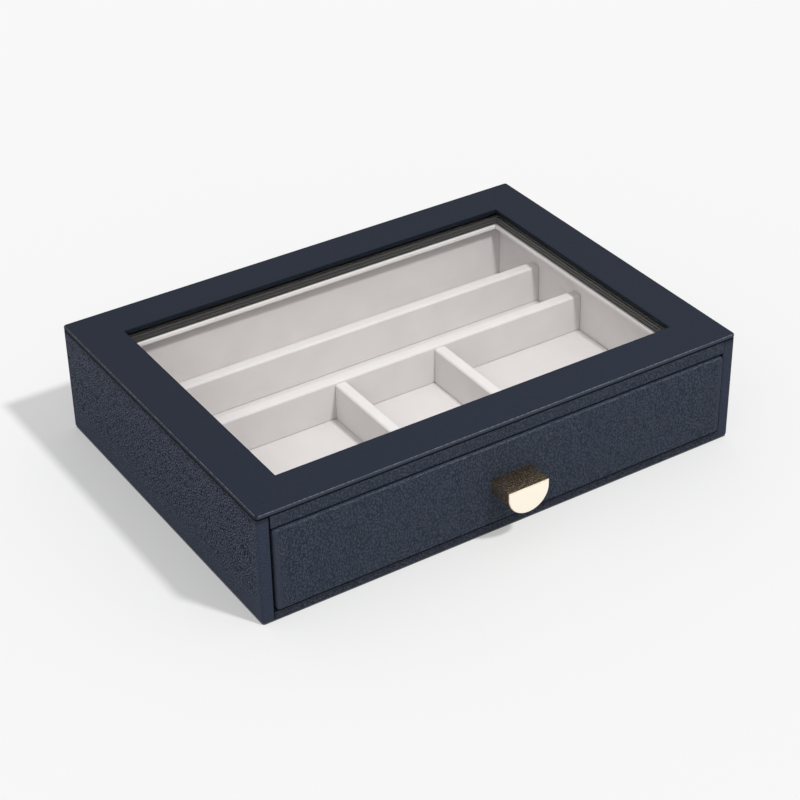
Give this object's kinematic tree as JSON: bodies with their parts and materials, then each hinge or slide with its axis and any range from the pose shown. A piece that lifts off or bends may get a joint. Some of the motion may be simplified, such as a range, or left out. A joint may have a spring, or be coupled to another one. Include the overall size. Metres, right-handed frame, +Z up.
{
  "type": "jewellery box",
  "caption": "Low rectangular leatherette jewellery case with a glazed lid frame over a pull-out drawer whose velvet tray is split into rows and cells.",
  "frame": {"origin": "centre of the case's footprint, on the face that it stands on", "axes": "+X to the right along the drawer front, -Y out of the drawer front, +Z up"},
  "size_m": [0.25, 0.1945, 0.056],
  "materials": {
    "leatherette": "navy pebbled grain, satin",
    "board": "raw fibreboard",
    "drawer_paper": "board faced with dark paper",
    "velvet": "warm off-white short-pile velvet",
    "felt": "dark pressed felt",
    "glass": "clear float glass, polished",
    "bead": "black, matt",
    "brass": "pale gold, polished",
    "steel": "zinc plated"
  },
  "bodies": {
    "case": {"base_felt": "felt", "left_side_board": "board", "right_side_board": "board", "back_board": "board", "bottom_board": "board", "bottom_cover": "leatherette", "floor_lining": "felt", "case_cover": "leatherette", "header_board": "board", "header_cover": "leatherette", "lid_board": "board", "lid_cover": "leatherette", "glass_pane": "glass", "glass_bead_front": "bead", "glass_bead_right": "bead", "glass_bead_back": "bead", "glass_bead_left": "bead", "lid_strip_front": "velvet", "lid_strip_right": "velvet", "lid_strip_back": "velvet", "lid_strip_left": "velvet"},
    "drawer": {"drawer_front_board": "board", "drawer_front_cover": "leatherette", "drawer_left_side": "drawer_paper", "drawer_right_side": "drawer_paper", "drawer_back": "drawer_paper", "drawer_bottom": "drawer_paper", "tray_floor": "velvet", "lining_left": "velvet", "lining_right": "velvet", "lining_front": "velvet", "lining_back": "velvet", "divider_long_front": "velvet", "divider_long_rear": "velvet", "divider_short_left": "velvet", "divider_short_right": "velvet", "pull": "brass", "pull_screws": "steel"}
  },
  "joints": [
    {"name": "drawer_slide", "type": "slide", "parent": "case", "child": "drawer", "axis": [0, -1, 0], "range_m": [0, 0.165]}
  ]
}
